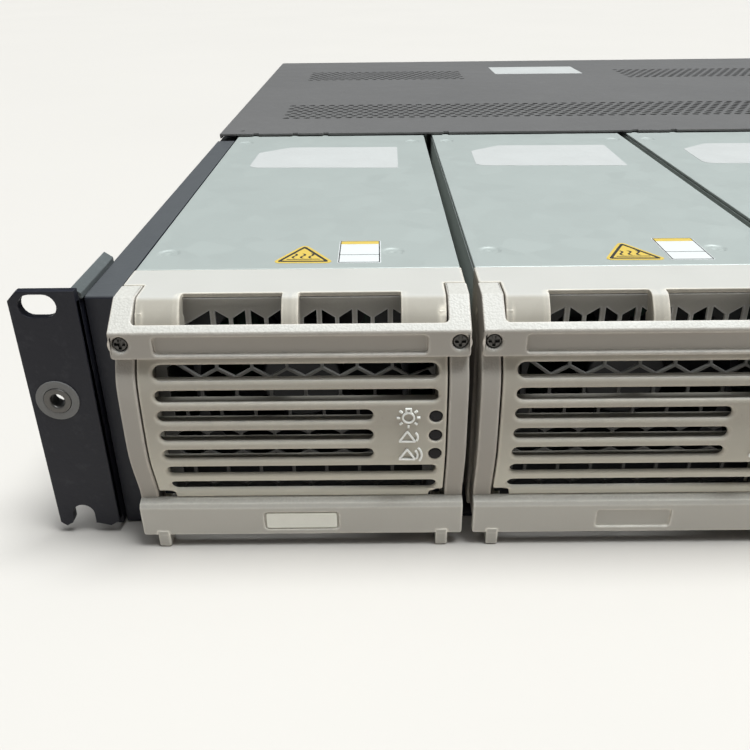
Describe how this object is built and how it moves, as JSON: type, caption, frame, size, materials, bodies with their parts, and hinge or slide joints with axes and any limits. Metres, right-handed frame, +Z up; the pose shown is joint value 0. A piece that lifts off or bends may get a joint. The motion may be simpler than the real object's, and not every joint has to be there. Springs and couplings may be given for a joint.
{
  "type": "rack power shelf",
  "caption": "Rackmount DC power shelf with hot-swap rectifier modules, hinged handle frames, slotted bezels over honeycomb fan guards, and a vented rear cover.",
  "frame": {"origin": "bottom centre of the bounding box; the underside of the base tray is at z = 0", "axes": "+X to the right seen from the front, +Y towards the rear, +Z up; the modules face -Y"},
  "size_m": [0.4826, 0.593, 0.0866],
  "materials": {
    "black_coat": "smooth satin black powder coat",
    "grey_coat": "fine matt dark grey powder coat",
    "galvanised": "galvanised sheet with faint spangle",
    "bezel_plastic": "smooth satin warm grey moulding",
    "handle_plastic": "fine pebble texture, warm grey moulding",
    "bare_steel": "plain machined steel",
    "guard_steel": "thin grey sheet, satin",
    "fan_plastic": "black glass-filled moulding",
    "circuit_board": "solder-masked board with black and silver parts",
    "busbar_copper": "plain copper bar",
    "terminal_plastic": "black moulding"
  },
  "bodies": {
    "shelf": {"base_tray": "black_coat", "side_wall_left": "black_coat", "side_wall_right": "black_coat", "rear_top_cover": "grey_coat", "rear_panel": "black_coat", "rack_ear_left": "black_coat", "rack_ear_right": "black_coat", "esd_jack": "bare_steel", "guide_rail_1": "black_coat", "guide_rail_2": "black_coat", "guide_rail_3": "black_coat", "backplane_board": "circuit_board", "busbar_positive": "busbar_copper", "busbar_negative": "busbar_copper", "dc_terminal_block": "terminal_plastic", "ac_terminal_block": "terminal_plastic", "ground_stud": "bare_steel"},
    "module_1": {"module_1_case": "galvanised", "module_1_cover": "galvanised", "module_1_bezel": "bezel_plastic", "module_1_fan_guard": "guard_steel", "module_1_fan_frame": "fan_plastic", "module_1_power_board": "circuit_board"},
    "handle_1": {"module_1_handle": "handle_plastic"},
    "fan_1": {"module_1_fan_rotor": "fan_plastic"},
    "screw_1_left": {"module_1_screw_left": "bare_steel"},
    "screw_1_right": {"module_1_screw_right": "bare_steel"},
    "module_2": {"module_2_case": "galvanised", "module_2_cover": "galvanised", "module_2_bezel": "bezel_plastic", "module_2_fan_guard": "guard_steel", "module_2_fan_frame": "fan_plastic", "module_2_power_board": "circuit_board"},
    "handle_2": {"module_2_handle": "handle_plastic"},
    "fan_2": {"module_2_fan_rotor": "fan_plastic"},
    "screw_2_left": {"module_2_screw_left": "bare_steel"},
    "screw_2_right": {"module_2_screw_right": "bare_steel"},
    "module_3": {"module_3_case": "galvanised", "module_3_cover": "galvanised", "module_3_bezel": "bezel_plastic", "module_3_fan_guard": "guard_steel", "module_3_fan_frame": "fan_plastic", "module_3_power_board": "circuit_board"},
    "handle_3": {"module_3_handle": "handle_plastic"},
    "fan_3": {"module_3_fan_rotor": "fan_plastic"},
    "screw_3_left": {"module_3_screw_left": "bare_steel"},
    "screw_3_right": {"module_3_screw_right": "bare_steel"},
    "module_4": {"module_4_case": "galvanised", "module_4_cover": "galvanised", "module_4_bezel": "bezel_plastic", "module_4_fan_guard": "guard_steel", "module_4_fan_frame": "fan_plastic", "module_4_power_board": "circuit_board"},
    "handle_4": {"module_4_handle": "handle_plastic"},
    "fan_4": {"module_4_fan_rotor": "fan_plastic"},
    "screw_4_left": {"module_4_screw_left": "bare_steel"},
    "screw_4_right": {"module_4_screw_right": "bare_steel"}
  },
  "joints": [
    {"name": "module_1_slide", "type": "slide", "parent": "shelf", "child": "module_1", "axis": [0, -1, 0], "range_m": [0, 0.28]},
    {"name": "handle_1_swing", "type": "hinge", "parent": "module_1", "child": "handle_1", "pos_m": [-0.1596, -0.2855, 0.014], "axis": [1, 0, 0], "range_deg": [0, 55]},
    {"name": "fan_1_spin", "type": "hinge", "parent": "module_1", "child": "fan_1", "pos_m": [-0.1596, -0.2576, 0.0465], "axis": [0, 1, 0], "continuous": true},
    {"name": "screw_1_left_turn", "type": "hinge", "parent": "handle_1", "child": "screw_1_left", "pos_m": [-0.20805, -0.287, 0.0734], "axis": [0, -1, 0], "range_deg": [0, 1620]},
    {"name": "screw_1_right_turn", "type": "hinge", "parent": "handle_1", "child": "screw_1_right", "pos_m": [-0.11115, -0.287, 0.0734], "axis": [0, -1, 0], "range_deg": [0, 1620]},
    {"name": "module_2_slide", "type": "slide", "parent": "shelf", "child": "module_2", "axis": [0, -1, 0], "range_m": [0, 0.28]},
    {"name": "handle_2_swing", "type": "hinge", "parent": "module_2", "child": "handle_2", "pos_m": [-0.0532, -0.2855, 0.014], "axis": [1, 0, 0], "range_deg": [0, 55]},
    {"name": "fan_2_spin", "type": "hinge", "parent": "module_2", "child": "fan_2", "pos_m": [-0.0532, -0.2576, 0.0465], "axis": [0, 1, 0], "continuous": true},
    {"name": "screw_2_left_turn", "type": "hinge", "parent": "handle_2", "child": "screw_2_left", "pos_m": [-0.10165, -0.287, 0.0734], "axis": [0, -1, 0], "range_deg": [0, 1620]},
    {"name": "screw_2_right_turn", "type": "hinge", "parent": "handle_2", "child": "screw_2_right", "pos_m": [-0.00475, -0.287, 0.0734], "axis": [0, -1, 0], "range_deg": [0, 1620]},
    {"name": "module_3_slide", "type": "slide", "parent": "shelf", "child": "module_3", "axis": [0, -1, 0], "range_m": [0, 0.28]},
    {"name": "handle_3_swing", "type": "hinge", "parent": "module_3", "child": "handle_3", "pos_m": [0.0532, -0.2855, 0.014], "axis": [1, 0, 0], "range_deg": [0, 55]},
    {"name": "fan_3_spin", "type": "hinge", "parent": "module_3", "child": "fan_3", "pos_m": [0.0532, -0.2576, 0.0465], "axis": [0, 1, 0], "continuous": true},
    {"name": "screw_3_left_turn", "type": "hinge", "parent": "handle_3", "child": "screw_3_left", "pos_m": [0.00475, -0.287, 0.0734], "axis": [0, -1, 0], "range_deg": [0, 1620]},
    {"name": "screw_3_right_turn", "type": "hinge", "parent": "handle_3", "child": "screw_3_right", "pos_m": [0.10165, -0.287, 0.0734], "axis": [0, -1, 0], "range_deg": [0, 1620]},
    {"name": "module_4_slide", "type": "slide", "parent": "shelf", "child": "module_4", "axis": [0, -1, 0], "range_m": [0, 0.28]},
    {"name": "handle_4_swing", "type": "hinge", "parent": "module_4", "child": "handle_4", "pos_m": [0.1596, -0.2855, 0.014], "axis": [1, 0, 0], "range_deg": [0, 55]},
    {"name": "fan_4_spin", "type": "hinge", "parent": "module_4", "child": "fan_4", "pos_m": [0.1596, -0.2576, 0.0465], "axis": [0, 1, 0], "continuous": true},
    {"name": "screw_4_left_turn", "type": "hinge", "parent": "handle_4", "child": "screw_4_left", "pos_m": [0.11115, -0.287, 0.0734], "axis": [0, -1, 0], "range_deg": [0, 1620]},
    {"name": "screw_4_right_turn", "type": "hinge", "parent": "handle_4", "child": "screw_4_right", "pos_m": [0.20805, -0.287, 0.0734], "axis": [0, -1, 0], "range_deg": [0, 1620]}
  ]
}
